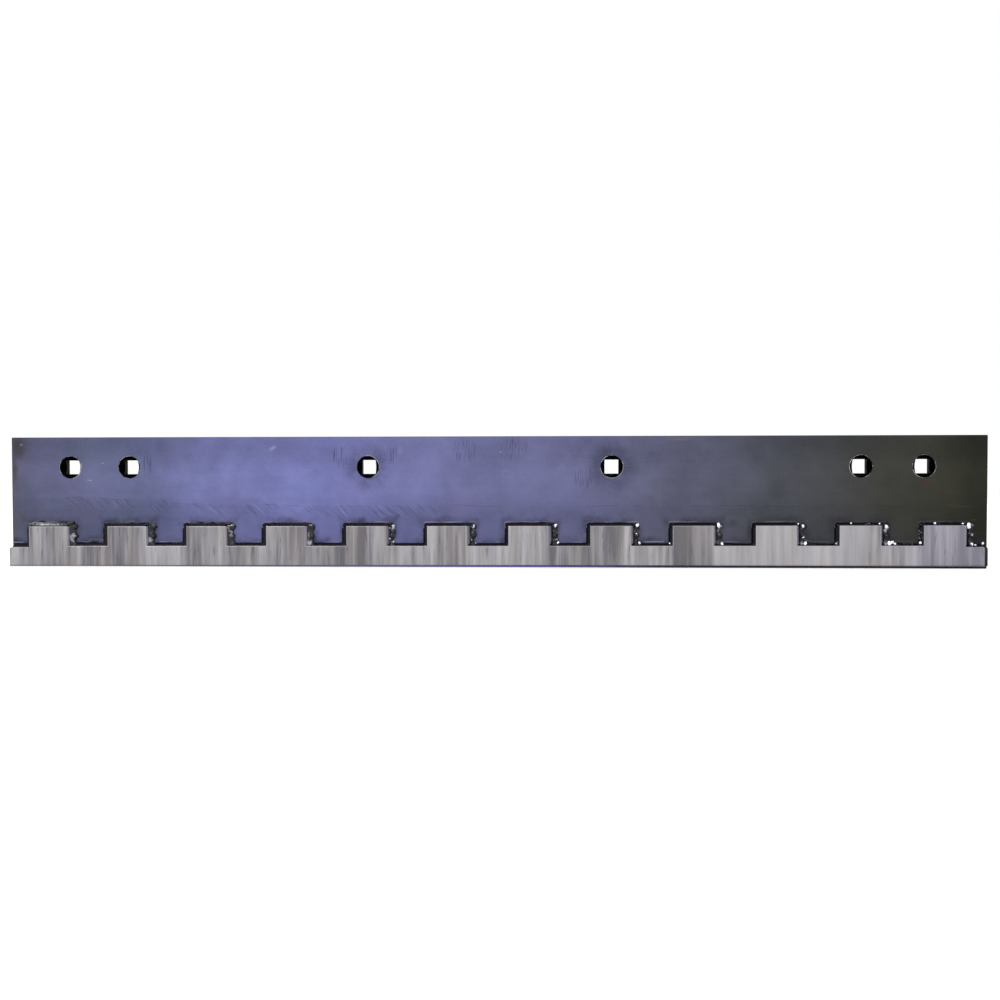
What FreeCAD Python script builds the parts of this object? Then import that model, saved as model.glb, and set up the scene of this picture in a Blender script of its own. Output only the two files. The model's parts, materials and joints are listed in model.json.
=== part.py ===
import FreeCAD, Part
import math
import os

# a bolt-on cutting edge: a flat steel plate with a toothed wear strip welded on its front
# millimetres; X runs along the edge, Y from front to back, Z up from the lower edge

# plate
plate_length = 1219.2
plate_height = 163.5
plate_thickness = 19.05
plate_edge_chamfer = 0.8

# plow-bolt holes: a round seat, a countersink below it and a square hole through the rest
holes_below_top = 38.1
hole_long_spacing = 304.8
hole_pair_spacing = 76.2
seat_radius = 13.9
seat_depth = 4.0
countersink_angle = 80.0
square_width = 17.46

# wear strip, drawn flat with its lower left corner at the start of X and Z
strip_thickness = 6.35
strip_overhang = 1.3
strip_height = 50.3
strip_tilt = 0.137
strip_bottom_hollow = 1.5
end_corner_radius = 2.8

# teeth, as many as leave a plain stretch at each end
tooth_pitch = 101.6
tooth_end_stretch = 20.0
tooth_width = 49.6
tooth_height = 24.8
side_bevel_angle = 30.0

# thin weld seam along the strip
seam_plate_leg = 5.4
seam_strip_leg = 5.2
seam_crown = 0.9
seam_end_setback = 3.5

# heavy weld beside each tooth
side_weld_reach = 8.2
side_weld_height = 4.8
side_weld_end_size = 0.5
side_weld_spread = 0.06
# from its foot to the tooth's top: the share of the tooth's height, and the size against the mean
side_weld_sections = [(0.0, 1.14), (0.16, 1.2), (0.34, 0.85), (0.5, 1.08), (0.67, 0.85), (0.88, 1.14), (1.0, 1.16)]
# the section's crest and shoulder, as shares of its reach and of its height
crest_reach, crest_height = 0.3, 1.03
shoulder_reach, shoulder_height = 0.75, 0.72

# what follows from the sizes above
front_of_plate = -(plate_thickness + strip_thickness) / 2 + strip_thickness
floor_height = strip_height - tooth_height
bevel_width = strip_thickness * math.tan(math.radians(side_bevel_angle))
strip_length = plate_length + 2 * strip_overhang
face_length = strip_length - bevel_width
toothed_length = face_length - 2 * tooth_end_stretch
tooth_count = int((toothed_length - tooth_width) // tooth_pitch) + 1
first_tooth = (face_length - (tooth_count - 1) * tooth_pitch - tooth_width) / 2
seam_start = strip_overhang + seam_end_setback
seam_end = strip_length - strip_overhang - seam_end_setback

out_of_front = FreeCAD.Vector(0, -1, 0)
along_y = FreeCAD.Vector(0, 1, 0)
up = FreeCAD.Vector(0, 0, 1)
left = FreeCAD.Vector(-1, 0, 0)
origin = FreeCAD.Vector(0, 0, 0)


def box_between(low, high):
    size = FreeCAD.Vector(*high) - FreeCAD.Vector(*low)
    return Part.makeBox(size.x, size.y, size.z, FreeCAD.Vector(*low))


def hole_places():
    half = hole_long_spacing / 2
    outer = half + hole_long_spacing
    right_side = [half, outer, outer + hole_pair_spacing]
    return sorted([-x for x in right_side] + right_side)


def bolt_hole(x, z):
    # everything that is punched out for one bolt, from past the front to past the back
    past = plate_thickness
    mouth = FreeCAD.Vector(x, front_of_plate - past, z)
    seat = Part.makeCylinder(seat_radius, past + seat_depth, mouth, along_y)
    cone_depth = seat_radius / math.tan(math.radians(countersink_angle / 2))
    cone_mouth = FreeCAD.Vector(x, front_of_plate + seat_depth, z)
    cone = Part.makeCone(seat_radius, 0, cone_depth, cone_mouth, along_y)
    half = square_width / 2
    back = front_of_plate + plate_thickness
    square = box_between((x - half, mouth.y, z - half), (x + half, back + past, z + half))
    # the countersink ends inside the square hole, so its tip is kept off the back face
    cone = cone.common(box_between((x - seat_radius, mouth.y, z - seat_radius),
                                   (x + seat_radius, back, z + seat_radius)))
    return seat.fuse([cone, square])


def blade_plate():
    half = plate_length / 2
    back = front_of_plate + plate_thickness
    plate = box_between((-half, front_of_plate, 0), (half, back, plate_height))
    plate = plate.makeChamfer(plate_edge_chamfer, plate.Edges)
    z = plate_height - holes_below_top
    for x in hole_places():
        plate = plate.cut(bolt_hole(x, z))
    return plate


def strip_outline(y, widened):
    # the toothed outline at one depth; the right-hand sides are moved out by widened
    def point(x, z):
        return FreeCAD.Vector(x, y, z)

    right = face_length + widened
    inset = end_corner_radius * (1 - math.sqrt(0.5))
    edges = [Part.makeLine(point(0, 0), point(0, floor_height - end_corner_radius))]
    edges.append(Part.Arc(point(0, floor_height - end_corner_radius),
                          point(inset, floor_height - inset),
                          point(end_corner_radius, floor_height)).toShape())
    corners = [point(end_corner_radius, floor_height)]
    for i in range(tooth_count):
        left_side = first_tooth + i * tooth_pitch
        right_side = left_side + tooth_width + widened
        corners.append(point(left_side, floor_height))
        corners.append(point(left_side, strip_height))
        corners.append(point(right_side, strip_height))
        corners.append(point(right_side, floor_height))
    corners.append(point(right - end_corner_radius, floor_height))
    for a, b in zip(corners, corners[1:]):
        edges.append(Part.makeLine(a, b))
    edges.append(Part.Arc(point(right - end_corner_radius, floor_height),
                          point(right - inset, floor_height - inset),
                          point(right, floor_height - end_corner_radius)).toShape())
    edges.append(Part.makeLine(point(right, floor_height - end_corner_radius), point(right, 0)))
    edges.append(Part.Arc(point(right, 0), point(right / 2, strip_bottom_hollow), point(0, 0)).toShape())
    return Part.Wire(edges)


def wear_strip():
    # the right-hand sides slope, so the strip is ruled from its back outline to its face outline
    return Part.makeLoft([strip_outline(0, bevel_width), strip_outline(-strip_thickness, 0)], True, True)


def seam_profile(corner, away):
    # a fillet weld's section: one leg on the plate, one up the strip, and a crowned face
    foot = corner + away * seam_plate_leg
    top = corner + out_of_front * seam_strip_leg
    outward = (away + out_of_front).normalize()
    crown = (foot + top) / 2 + outward * seam_crown
    return Part.Face(Part.makePolygon([corner, foot, crown, top, corner]))


def seam_run(start, run, away):
    return seam_profile(start, away).extrude(run)


def seam_turn(corner):
    # the quarter turn of the seam round a tooth's upper left corner
    return seam_profile(corner, left).revolve(corner, along_y, 90)


def floor_seam(x_from, x_to):
    start = FreeCAD.Vector(x_from, 0, floor_height)
    return seam_run(start, FreeCAD.Vector(x_to - x_from, 0, 0), up)


def tooth_seam(i):
    # from the foot of the tooth before, along the floor, up the left side and over the top
    left_side = first_tooth + i * tooth_pitch
    right_side = left_side + tooth_width + bevel_width
    floor_from = seam_start if i == 0 else right_side - tooth_pitch
    corner = FreeCAD.Vector(left_side, 0, strip_height)
    foot = FreeCAD.Vector(left_side, 0, floor_height)
    up_the_side = seam_run(foot, up * tooth_height, left)
    over_the_top = seam_run(corner, FreeCAD.Vector(right_side - left_side, 0, 0), up)
    return floor_seam(floor_from, left_side).fuse([up_the_side, seam_turn(corner), over_the_top])


def side_weld_section(foot_edge, z, size):
    # its inner side lies on the tooth's bevel, its underside on the plate
    reach = side_weld_reach * size
    height = side_weld_height * size
    climb = bevel_width * height / strip_thickness
    foot = FreeCAD.Vector(foot_edge, 0, z)
    toe = foot + FreeCAD.Vector(reach, 0, 0)
    shoulder = foot + FreeCAD.Vector(reach * shoulder_reach, -height * shoulder_height, 0)
    crest = foot + FreeCAD.Vector(reach * crest_reach, -height * crest_height, 0)
    top = foot + FreeCAD.Vector(-climb, -height, 0)
    return Part.makePolygon([foot, toe, shoulder, crest, top, foot])


def side_weld(i):
    # a bead that swells at its foot, middle and top, and runs out above the tooth
    foot_edge = first_tooth + i * tooth_pitch + tooth_width + bevel_width
    sections = []
    for j, (share, size) in enumerate(side_weld_sections):
        # hand welds differ a little from tooth to tooth
        varied = size * (1 + side_weld_spread * math.sin(2.4 * i + 3.1 * j))
        sections.append(side_weld_section(foot_edge, floor_height + share * tooth_height, varied))
    sections.append(side_weld_section(foot_edge, strip_height + seam_plate_leg, side_weld_end_size))
    return Part.makeLoft(sections, True, True)


def laid_on_plate(shape):
    # from the strip's own flat drawing to its place, turned slightly so its right end is higher
    placed = shape.copy()
    placed.rotate(origin, along_y, -strip_tilt)
    placed.translate(FreeCAD.Vector(-strip_length / 2, front_of_plate, 0))
    return placed


def save(name, shape):
    shape.exportStep(os.path.join("parts", name + ".step"))
    print(name, "solids", len(shape.Solids), "valid", shape.isValid(), "volume", round(shape.Volume, 1))


os.makedirs("parts", exist_ok=True)

save("blade_plate", blade_plate())

save("toothed_wear_strip", laid_on_plate(wear_strip()))

side_welds = [side_weld(i) for i in range(tooth_count)]
save("tooth_side_welds", laid_on_plate(Part.makeCompound(side_welds)))

seams = [tooth_seam(i).cut(side_welds[max(i - 1, 0):i + 1]) for i in range(tooth_count)]
last_foot = first_tooth + (tooth_count - 1) * tooth_pitch + tooth_width + bevel_width
seams.append(floor_seam(last_foot, seam_end).cut(side_welds[-1]))
save("fillet_weld_seam", laid_on_plate(Part.makeCompound(seams)))
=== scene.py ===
import json
import math
import random

import bmesh
import bpy
from mathutils import Matrix, Vector, noise


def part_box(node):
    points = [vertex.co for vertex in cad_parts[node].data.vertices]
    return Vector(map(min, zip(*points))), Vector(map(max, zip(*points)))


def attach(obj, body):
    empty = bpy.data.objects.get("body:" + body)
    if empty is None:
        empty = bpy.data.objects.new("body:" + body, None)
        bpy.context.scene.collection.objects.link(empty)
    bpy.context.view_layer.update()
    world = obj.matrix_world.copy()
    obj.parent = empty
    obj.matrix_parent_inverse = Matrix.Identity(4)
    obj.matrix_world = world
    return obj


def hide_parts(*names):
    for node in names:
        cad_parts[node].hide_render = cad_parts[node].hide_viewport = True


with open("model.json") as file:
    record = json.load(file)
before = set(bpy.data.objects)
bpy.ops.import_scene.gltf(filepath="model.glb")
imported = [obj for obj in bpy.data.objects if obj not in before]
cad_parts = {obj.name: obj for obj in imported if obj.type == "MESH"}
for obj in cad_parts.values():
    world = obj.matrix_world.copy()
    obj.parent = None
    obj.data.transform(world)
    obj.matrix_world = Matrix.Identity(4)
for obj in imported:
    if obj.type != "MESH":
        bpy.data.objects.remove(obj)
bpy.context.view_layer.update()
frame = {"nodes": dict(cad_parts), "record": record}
print("frame loaded")

mm = 0.001
near = 0.01 * mm  # vertices this close are one
scene = bpy.context.scene
plateLow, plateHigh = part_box("blade_plate")
stripLow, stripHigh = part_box("toothed_wear_strip")
plateFront = plateLow.y
stripFace = stripLow.y
boltSeats = [mount for mount in frame["record"]["mounts"] if mount["kind"] == "bore"]
seatsAlong = sorted({abs(mount["pos_m"][0]) for mount in boltSeats})
seatHeight = boltSeats[0]["pos_m"][2]
seatRadius = boltSeats[0]["dims"]["r_mm"] * mm

rightward = Vector((1, 0, 0))
leftward = Vector((-1, 0, 0))
outOfFront = Vector((0, -1, 0))
upward = Vector((0, 0, 1))


# node helpers

def colour(red, green, blue):
    # 0 to 255 as seen on a screen, to the linear values that the nodes take
    def linear(value):
        share = value / 255
        return share / 12.92 if share <= 0.04045 else ((share + 0.055) / 1.055) ** 2.4
    return (linear(red), linear(green), linear(blue), 1)


def feed(tree, socket, value):
    if isinstance(value, bpy.types.NodeSocket):
        tree.links.new(value, socket)
    else:
        socket.default_value = value


def addNode(tree, kind, inputs=None, **settings):
    node = tree.nodes.new(kind)
    for name, value in settings.items():
        setattr(node, name, value)
    for key, value in (inputs or {}).items():
        feed(tree, node.inputs[key], value)
    return node


def calc(tree, operation, first, second=0.0, clamp=False):
    node = addNode(tree, "ShaderNodeMath", {0: first}, operation=operation, use_clamp=clamp)
    feed(tree, node.inputs[1], second)
    return node.outputs[0]


def product(tree, first, *others):
    for other in others:
        first = calc(tree, "MULTIPLY", first, other)
    return first


def addUp(tree, first, *others):
    for other in others:
        first = calc(tree, "ADD", first, other)
    return first


def vectorMath(tree, operation, inputs):
    return addNode(tree, "ShaderNodeVectorMath", inputs, operation=operation).outputs[0]


def coordinates(tree, vector):
    return addNode(tree, "ShaderNodeSeparateXYZ", {0: vector}).outputs


def rescale(tree, value, low, high, toLow=0.0, toHigh=1.0, smooth=False):
    inputs = {"Value": value, "From Min": low, "From Max": high, "To Min": toLow, "To Max": toHigh}
    kind = "SMOOTHSTEP" if smooth else "LINEAR"
    return addNode(tree, "ShaderNodeMapRange", inputs, interpolation_type=kind).outputs[0]


def blendColour(tree, factor, first, second, way="MIX"):
    inputs = {0: factor, 6: first, 7: second}
    return addNode(tree, "ShaderNodeMix", inputs, data_type="RGBA", blend_type=way).outputs[2]


def brighten(tree, base, factor):
    # multiplies a colour by a plain value
    grey = addNode(tree, "ShaderNodeCombineColor", {0: factor, 1: factor, 2: factor}).outputs[0]
    return blendColour(tree, 1.0, base, grey, "MULTIPLY")


def shadeWhere(tree, base, mask, level):
    # brings a colour to that level where the mask is 1
    return brighten(tree, base, rescale(tree, mask, 0, 1, 1, level))


def stretched(tree, vector, size, turn=0.0, shift=(0, 0, 0)):
    # a pattern whose features have that size in metres, turned in degrees on the front
    inputs = {"Vector": vector, "Location": shift, "Rotation": (0, math.radians(turn), 0), "Scale": size}
    return addNode(tree, "ShaderNodeMapping", inputs, vector_type="TEXTURE").outputs[0]


def cloud(tree, vector, scale, detail=4.0, roughness=0.55, distortion=0.0):
    inputs = {"Vector": vector, "Scale": scale, "Detail": detail,
              "Roughness": roughness, "Distortion": distortion}
    return addNode(tree, "ShaderNodeTexNoise", inputs).outputs[0]


def patches(tree, vector, scale, detail, low, high, toLow=0.0, toHigh=1.0, roughness=0.55):
    # a cloud that gives toLow up to its value low, and toHigh from its value high
    return rescale(tree, cloud(tree, vector, scale, detail, roughness), low, high, toLow, toHigh)


def drift(tree, vector, scale, detail, amount=1, roughness=0.55):
    # a cloud that wanders between minus and plus that amount
    return patches(tree, vector, scale, detail, 0.3, 0.7, -amount, amount, roughness)


def colourRamp(tree, factor, stops):
    node = addNode(tree, "ShaderNodeValToRGB", {0: factor})
    elements = node.color_ramp.elements
    while len(elements) < len(stops):
        elements.new(0.5)
    for element, (place, shade) in zip(elements, stops):
        element.position = place
        element.color = shade
    return node.outputs[0]


def newGroup(name, inputs, outputs):
    tree = bpy.data.node_groups.new(name, "ShaderNodeTree")
    for socketName, kind, default in inputs:
        socket = tree.interface.new_socket(name=socketName, in_out="INPUT", socket_type=kind)
        if default is not None:
            socket.default_value = default
    for socketName in outputs:
        tree.interface.new_socket(name=socketName, in_out="OUTPUT", socket_type="NodeSocketFloat")
    start = tree.nodes.new("NodeGroupInput").outputs
    return tree, start, tree.nodes.new("NodeGroupOutput").inputs


def useGroup(tree, group, inputs):
    node = tree.nodes.new("ShaderNodeGroup")
    node.node_tree = group
    for key, value in inputs.items():
        feed(tree, node.inputs[key], value)
    return node.outputs


def newMaterial(name):
    material = bpy.data.materials.new(name)
    material.use_nodes = True
    tree = material.node_tree
    tree.nodes.clear()
    output = tree.nodes.new("ShaderNodeOutputMaterial")
    shader = tree.nodes.new("ShaderNodeBsdfPrincipled")
    tree.links.new(shader.outputs[0], output.inputs[0])
    place = tree.nodes.new("ShaderNodeTexCoord").outputs["Object"]
    return material, tree, shader, place


def setShader(tree, shader, base, roughness, metallic):
    feed(tree, shader.inputs["Base Color"], base)
    feed(tree, shader.inputs["Roughness"], roughness)
    feed(tree, shader.inputs["Metallic"], metallic)


def bumpNormal(tree, shader, height, distance):
    bump = addNode(tree, "ShaderNodeBump", {"Height": height, "Distance": distance, "Strength": 1.0})
    tree.links.new(bump.outputs[0], shader.inputs["Normal"])


# in the values below, a pair "along" is the x where something starts and the x where it is full,
# and a cloud is given by its scale and detail, then by how far it drifts or where it is cut

# wear strip: its sizes, drawn flat from its lower left corner, and its ground steel

strip = {
    "overhang": 1.3 * mm,
    "height": 50.3 * mm,
    "toothHeight": 24.8 * mm,
    "toothWidth": 49.6 * mm,
    "toothPitch": 101.6 * mm,
    "endStretch": 20 * mm,
    "bevelAngle": 30,
    "bottomHollow": 1.5 * mm,
    "cornerRadius": 2.8 * mm,
    "endRelief": 2.7 * mm,
    "endFloorDrop": 1.4 * mm,
    "edgeRounding": 0.3 * mm,
    "tilt": 0.137,
    "dark": colour(84, 81, 84),
    "light": colour(195, 192, 195),
    "warm": colour(163, 156, 154),
    "cool": colour(142, 141, 156),
    "tintStrength": 0.22,
    "warmSize": (0.02, 1, 0.4),
    "warmCut": (0.4, 0.6),
    # grinding streaks: size, detail and how strongly they show
    "streaks": {
        "broad": ((0.03, 1, 0.3), 2, 0.26),
        "bands": ((0.0075, 1, 0.12), 2, 0.2),
        "lines": ((0.0016, 1, 0.06), 3, 0.1)},
    "streakBump": 0.02 * mm,
    "bandBump": 0.7,
    "lineRoughness": 0.05,
    "stainSize": (0.004, 1, 0.03),
    "stainCut": (0.58, 0.72),
    "stainStrength": 0.34,
    "stainHeights": (4 * mm, 22 * mm),
    # the middle value of the face and how much the streaks count, on the uneven part and on the even one
    "level": (0.5, 0.66),
    "contrast": (1, 0.45),
    "evenFrom": (0.24, 0.27),
    "evenTo": (0.49, 0.44),
    "toothDarker": 0.17,
    "toothEdge": 2 * mm,
    # darker lengths of the ground face: middle x, half length and how much, or how much lighter below 0
    "darkLengths": [(-0.51, 26 * mm, 0.3), (-0.467, 21 * mm, 0.07), (-0.307, 26 * mm, 0.2),
                    (-0.205, 26 * mm, 0.28), (-0.169, 21 * mm, 0.08), (0.023, 51 * mm, -0.12),
                    (0.1, 26 * mm, 0.28), (0.136, 21 * mm, 0.08), (0.188, 20 * mm, -0.09),
                    (0.252, 25 * mm, 0.36), (0.557, 25 * mm, 0.18), (0.6, 17 * mm, 0.42)],
    "lengthEdge": 3 * mm,
    "lastTooth": colour(140, 138, 162),
    "lastToothAlong": (0.505, 0.53),
    "lastToothStrength": 0.3,
    # a painted highlight along the teeth's edges
    "rim": colour(172, 168, 180),
    "edgeHighlightWidth": (1.3 * mm, 0.2 * mm),
    "edgeHighlightStrength": 0.45,
    "bottomHeights": (2.6 * mm, 0.8 * mm),
    "bottomLevel": 0.62,
    "roughness": 0.34,
    "metallic": 0.75,
    # the sloping sides keep their mill scale, and the one at the right end is painted black as shade
    "side": colour(150, 148, 160),
    "sideFrom": (0.25 * mm, 0.5 * mm),
    "sideMottle": {"Clouds": 0.15, "Streaks": 0.08, "Grain": 0.1},
    "sideRoughness": 0.25,
    "sideMetallic": 0.12,
    "endShade": colour(7, 6, 7),
    "endShadeFrom": (6.2 * mm, 5.6 * mm),
}
stripThickness = plateFront - stripFace
stripLength = plateHigh.x - plateLow.x + 2 * strip["overhang"]
bevelWidth = stripThickness * math.tan(math.radians(strip["bevelAngle"]))
faceLength = stripLength - bevelWidth
floorHeight = strip["height"] - strip["toothHeight"]
endFloorHeight = floorHeight - strip["endFloorDrop"]
toothedLength = faceLength - 2 * strip["endStretch"]
toothCount = int((toothedLength - strip["toothWidth"]) // strip["toothPitch"]) + 1
firstTooth = (faceLength - (toothCount - 1) * strip["toothPitch"] - strip["toothWidth"]) / 2


# shared effects

def outlineDepthGroup():
    # how deep a point lies inside the toothed outline, seen from the front; negative outside it
    tree, start, end = newGroup("outlineDepth", [("Place", "NodeSocketVector", None),
                                                 ("Tooth Width", "NodeSocketFloat", strip["toothWidth"])],
                                ["Depth", "Across", "Up"])
    place, toothWidth = start[0], start[1]
    parts = coordinates(tree, place)
    along = addUp(tree, parts[0], stripLength / 2)
    rise = product(tree, along, math.tan(math.radians(strip["tilt"])))
    height = calc(tree, "SUBTRACT", parts[2], rise)
    halfWidth = product(tree, toothWidth, 0.5)
    # counted from before the strip's left end, so that the remainder is never negative
    pitch = strip["toothPitch"]
    wellBefore = addUp(tree, halfWidth, firstTooth - 2.5 * pitch)
    fromMiddle = calc(tree, "MODULO", calc(tree, "SUBTRACT", along, wellBefore), pitch)
    fromMiddle = calc(tree, "ABSOLUTE", calc(tree, "SUBTRACT", fromMiddle, pitch / 2))
    across = calc(tree, "SUBTRACT", halfWidth, fromMiddle)
    inTooth = calc(tree, "MINIMUM", across, calc(tree, "SUBTRACT", strip["height"], height))
    inBar = calc(tree, "SUBTRACT", floorHeight, height)
    feed(tree, end[0], calc(tree, "MAXIMUM", inTooth, inBar))
    feed(tree, end[1], across)
    feed(tree, end[2], height)
    return tree


def softSpotGroup():
    # 1 at the middle of an oval spot on the front, 0 at its rim
    tree, start, end = newGroup("softSpot", [("Place", "NodeSocketVector", None),
                                             ("Middle", "NodeSocketVector", (0, 0, 0)),
                                             ("Turn", "NodeSocketVector", (0, 0, 0)),
                                             ("Half Size", "NodeSocketVector", (1, 1, 1))], ["Mask"])
    moved = vectorMath(tree, "SUBTRACT", {0: start[0], 1: start[1]})
    turned = addNode(tree, "ShaderNodeVectorRotate", {"Vector": moved, "Rotation": start[2]},
                     rotation_type="EULER_XYZ").outputs[0]
    flat = vectorMath(tree, "MULTIPLY", {0: turned, 1: (1, 0, 1)})
    sized = vectorMath(tree, "DIVIDE", {0: flat, 1: start[3]})
    distance = addNode(tree, "ShaderNodeVectorMath", {0: sized}, operation="LENGTH").outputs["Value"]
    feed(tree, end[0], rescale(tree, distance, 1.0, 0.0, smooth=True))
    return tree


mottleCells = {"clouds": (11, 5), "blotches": (48, 4), "blotchShare": 0.4, "grain": (700, 3),
               "streakSize": (0.2, 0.017, 0.006)}


def mottleGroup():
    # brightness that drifts about 1: broad clouds, streaks along the rolling and fine grain
    tree, start, end = newGroup("mottle", [("Place", "NodeSocketVector", None),
                                           ("Clouds", "NodeSocketFloat", 0.08),
                                           ("Streaks", "NodeSocketFloat", 0.03),
                                           ("Grain", "NodeSocketFloat", 0.05)], ["Factor", "Grain"])
    place, cloudShare, streakShare, grainShare = start[0], start[1], start[2], start[3]
    clouds = drift(tree, place, *mottleCells["clouds"])
    streaks = drift(tree, stretched(tree, place, mottleCells["streakSize"]), 1, 3)
    grain = drift(tree, place, *mottleCells["grain"], roughness=0.7)
    blotches = drift(tree, place, *mottleCells["blotches"], roughness=0.6)
    factor = addUp(tree, 1.0, product(tree, clouds, cloudShare), product(tree, streaks, streakShare),
                   product(tree, grain, grainShare),
                   product(tree, blotches, cloudShare, mottleCells["blotchShare"]))
    feed(tree, end[0], factor)
    feed(tree, end[1], grain)
    return tree


outlineDepth = outlineDepthGroup()
softSpot = softSpotGroup()
mottle = mottleGroup()


# plate: blued mill scale with a painted reflection, from slate through blue-violet to nearly black at the
# right end

plate = {
    # share of the length from the left end, and the colour there: mill scale with a painted reflection,
    # bluish in the middle and dark at the right
    "alongPlate": [
        (0.0, colour(86, 86, 99)), (0.035, colour(88, 92, 117)), (0.1, colour(88, 93, 120)),
        (0.2, colour(114, 118, 167)), (0.32, colour(115, 120, 176)), (0.4, colour(112, 115, 163)),
        (0.48, colour(107, 109, 151)), (0.58, colour(105, 107, 145)), (0.68, colour(92, 93, 116)),
        (0.81, colour(72, 74, 83)), (0.91, colour(58, 58, 54)), (0.965, colour(46, 46, 38)),
        (1.0, colour(32, 33, 24))],
    "drift": (5, 3, 0.035),
    "mottle": {"Clouds": 0.18, "Streaks": 0.03, "Grain": 0.07},
    "metallic": 0.55,
    "specular": 0.22,
    "roughness": 0.46,
    "grainRoughness": 0.05,
    "seatRoughness": 0.3,
    "level": 0.88,
    # how far behind the front face its marks fade out
    "frontFade": (2 * mm, 0.5 * mm),
    "violet": {"colour": colour(112, 104, 150), "strength": 0.35, "size": (0.12, 0.12, 0.08),
               "cut": (0.42, 0.68), "along": (0.25, -0.05)},
    # darker towards the top, most at the ends, and towards the foot, but not at the left end
    "top": {"heights": (0.115, 0.155), "along": (0.1, 0.45), "levels": (0.92, 0.74)},
    "foot": {"heights": (0.1, 0.065), "along": (0.15, 0.35), "levels": (0.85, 0.91),
             "leftEnd": (-0.53, -0.59)},
    "heatLine": {
        "height": 76.7 * mm,
        "rise": 10 * mm,
        "riseAlong": (-0.3, -0.52),
        "wander": (20, 3, 1.5 * mm),
        "width": (0.9 * mm, 0.1 * mm),
        "broken": (45, 3, 0.42, 0.6),
        "level": 0.78,
        "below": (-1 * mm, 3 * mm),
        "belowLevel": 0.93},
    "strokes": {
        "size": (0.0034, 1, 0.03),
        "turn": -48,
        "cut": (0.36, 0.64),
        "start": (-4 * mm, 2 * mm),
        "end": (17 * mm, 8 * mm),
        "leftEnd": (-0.57, -0.52),
        "rightEnd": (-0.02, -0.1),
        "patchy": (30, 3, 0.4, 0.58),
        "levels": (0.8, 1.24),
        "depth": 2},
    "scratches": {
        "size": (0.0012, 1, 0.024),
        "turn": 3,
        "cut": (0.52, 0.62),
        "edge": (0.05, 0.4),
        "level": 0.6,
        "depth": 2,
        # middle x and z, half sizes
        "patches": [((-0.030, 0.146), (0.020, 0.022)), ((0.030, 0.148), (0.028, 0.020)),
                    ((-0.188, 0.138), (0.016, 0.02)), ((-0.121, 0.141), (0.014, 0.017)),
                    ((-0.434, 0.128), (0.009, 0.022)), ((0.118, 0.112), (0.018, 0.018))]},
    # only round the two middle seats, with rings in seat radii
    "smudges": {
        "along": (0.24, 0.22),
        "ring": (2.7 * seatRadius, 1.2 * seatRadius),
        "patchy": (60, 3, 0.35, 0.6, 0.45, 1),
        "level": 0.58,
        "scuffCount": 24,
        "scuffCut": (0.55, 0.66),
        "scuffRing": (2.6 * seatRadius, 1.3 * seatRadius),
        "scuffLevel": 1.3},
    # middle x and z, half sizes, turn in degrees, colour and strength
    "marks": [
        ((-0.601, 0.152), (0.015, 0.026), 0, colour(60, 56, 60), 0.85),
        ((-0.606, 0.122), (0.006, 0.024), 0, colour(66, 60, 64), 0.7),
        ((-0.597, 0.1535), (0.003, 0.0025), 20, colour(132, 132, 142), 0.7),
        ((-0.273, 0.1495), (0.009, 0.0035), 25, colour(150, 150, 182), 0.6),
        ((-0.509, 0.1085), (0.005, 0.001), -8, colour(165, 165, 178), 0.8),
        ((-0.4915, 0.130), (0.0016, 0.0013), 0, colour(150, 150, 165), 0.8),
        ((0.015, 0.1445), (0.0016, 0.0016), 0, colour(165, 162, 180), 0.9),
        ((-0.112, 0.146), (0.007, 0.008), 0, colour(132, 128, 176), 0.5),
        ((0.235, 0.160), (0.03, 0.004), 0, colour(112, 106, 104), 0.5),
        ((0.536, 0.104), (0.016, 0.010), 0, colour(66, 48, 38), 0.5),
        ((0.575, 0.0765), (0.028, 0.0022), -3, colour(58, 50, 40), 0.55),
        ((0.388, 0.040), (0.016, 0.013), 0, colour(40, 40, 46), 0.55),
        ((0.30, 0.055), (0.012, 0.008), 0, colour(48, 48, 56), 0.5),
        ((-0.43, 0.104), (0.02, 0.006), -30, colour(110, 110, 140), 0.35)],
    "markWobble": (130, 3, 6 * mm),
    "ragged": (90, 4, 0.25, 0.75, -3 * mm, 3 * mm),
    # distances from the wear strip's outline
    # darker band round the welds
    "weldDarkening": {"colour": colour(30, 28, 38), "strength": 0.72, "reach": (15 * mm, 4 * mm),
             "patchy": (34, 4, 0.4, 0.65, 0.15, 1)},
    "heatTint": {"colour": colour(136, 132, 160), "outer": (9 * mm, 7.5 * mm), "inner": (5 * mm, 6 * mm),
                 "along": (0.3, 0.1), "patchy": (75, 3, 0.5, 0.62, 0, 0.22)},
    # a painted highlight along the seam's toe, partly heat tint
    "toeHighlight": {"colour": colour(140, 138, 166), "distance": 4.7 * mm, "wobble": (60, 2, 0.5 * mm),
                "width": (0.9 * mm, 0.3 * mm), "broken": (40, 3, 0.42, 0.58, 0, 0.75),
                "overTooth": (-6 * mm, -3 * mm), "overFloor": (-9 * mm, -12 * mm),
                "along": (0.42, 0.2, 0.15, 1)},
    # painted light on the plate's lower edge, which shows under the hollow of the strip
    "lowEdgeLight": {"colour": colour(150, 142, 225), "heights": (2.4 * mm, 1.4 * mm),
                "along": (0.2, 0.05, 0, 0.8), "leftEnd": (-0.5, -0.4)},
    "holeInside": colour(5, 5, 5),
    "seatEdge": (0.3 * mm, 0.1 * mm),
    "ends": {"width": (1.7 * mm, 0.8 * mm), "ragged": 0.15, "level": 0.22},
    "pits": (320, 2, 0.27, 0.2),
    "pitDepth": 3,
    "bump": 0.04 * mm,
}


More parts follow.
